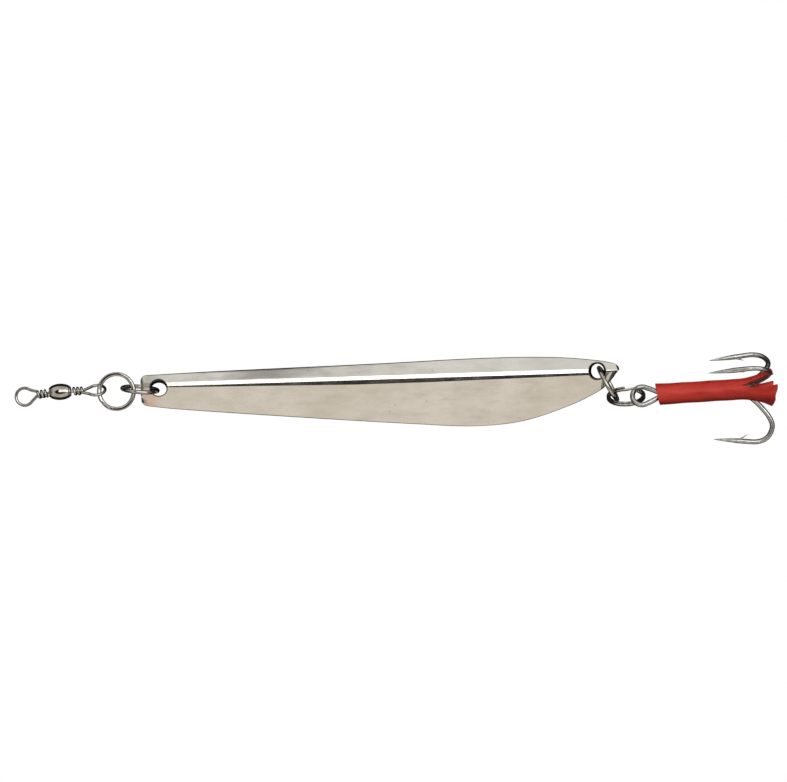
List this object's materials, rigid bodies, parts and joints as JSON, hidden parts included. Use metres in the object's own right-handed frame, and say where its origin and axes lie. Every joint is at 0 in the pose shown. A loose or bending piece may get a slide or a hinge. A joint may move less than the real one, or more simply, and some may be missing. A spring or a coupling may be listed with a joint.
{
  "type": "spoon lure",
  "caption": "Slender three-sided metal jigging spoon with ring holes at both ends, a barrel swivel at the nose and a sleeved treble hook at the tail.",
  "frame": {"origin": "on the body's flat back, halfway between the centres of the two ring holes", "axes": "+X from the nose to the hook along the line through the ring holes, +Z from the flat back up to the ridge, +Y towards the narrow face"},
  "size_m": [0.1891, 0.024, 0.0242],
  "materials": {
    "plated_body": "bright nickel plate over a lead casting, lightly scratched",
    "ring_steel": "bright nickel-plated steel wire",
    "swivel_nickel": "bright nickel-plated brass",
    "hook_wire": "satin tinned steel wire",
    "braze": "dull tinned solder",
    "red_sleeve": "soft glossy red PVC"
  },
  "bodies": {
    "lure_body": {"body": "plated_body"},
    "nose_ring": {"nose_ring": "ring_steel"},
    "front_ring": {"front_split_ring": "ring_steel"},
    "lure_eye": {"lure_eye": "swivel_nickel"},
    "barrel": {"swivel_barrel": "swivel_nickel"},
    "line_eye": {"line_eye": "swivel_nickel"},
    "tail_ring": {"tail_ring": "ring_steel"},
    "hook_ring": {"hook_split_ring": "ring_steel"},
    "treble": {"double_hook": "hook_wire", "single_hook": "hook_wire", "hook_braze": "braze", "hook_sleeve": "red_sleeve"}
  },
  "joints": [
    {"name": "nose_ring_swing", "type": "hinge", "parent": "lure_body", "child": "nose_ring", "pos_m": [-0.05465, 0, 0.0036], "axis": [0, 0, 1], "range_deg": [-60, 60]},
    {"name": "front_ring_swing", "type": "hinge", "parent": "nose_ring", "child": "front_ring", "pos_m": [-0.0629, 0.0004, 0.0025], "axis": [0, 0, 1], "range_deg": [-40, 20]},
    {"name": "swivel_lift", "type": "hinge", "parent": "front_ring", "child": "lure_eye", "pos_m": [-0.0697, -0.0004, 0.00225], "axis": [0, 1, 0], "range_deg": [0, 110]},
    {"name": "barrel_spin", "type": "hinge", "parent": "lure_eye", "child": "barrel", "pos_m": [-0.07946, -0.0001, 0.00225], "axis": [1, 0.0079, 0], "continuous": true},
    {"name": "line_eye_spin", "type": "hinge", "parent": "barrel", "child": "line_eye", "pos_m": [-0.08076, -0.00011, 0.00225], "axis": [-0.9896, -0.1145, -0.0872], "continuous": true},
    {"name": "tail_ring_swing", "type": "hinge", "parent": "lure_body", "child": "tail_ring", "pos_m": [0.05465, 0, 0.0036], "axis": [0, 0, 1], "range_deg": [-30, 55]},
    {"name": "hook_ring_swing", "type": "hinge", "parent": "tail_ring", "child": "hook_ring", "pos_m": [0.059, -0.0058, 0.00515], "axis": [0, 0, 1], "range_deg": [-30, 25]},
    {"name": "hook_swing", "type": "hinge", "parent": "hook_ring", "child": "treble", "pos_m": [0.0658, -0.00635, 0.006], "axis": [0, 0, 1], "range_deg": [-45, 45]}
  ]
}
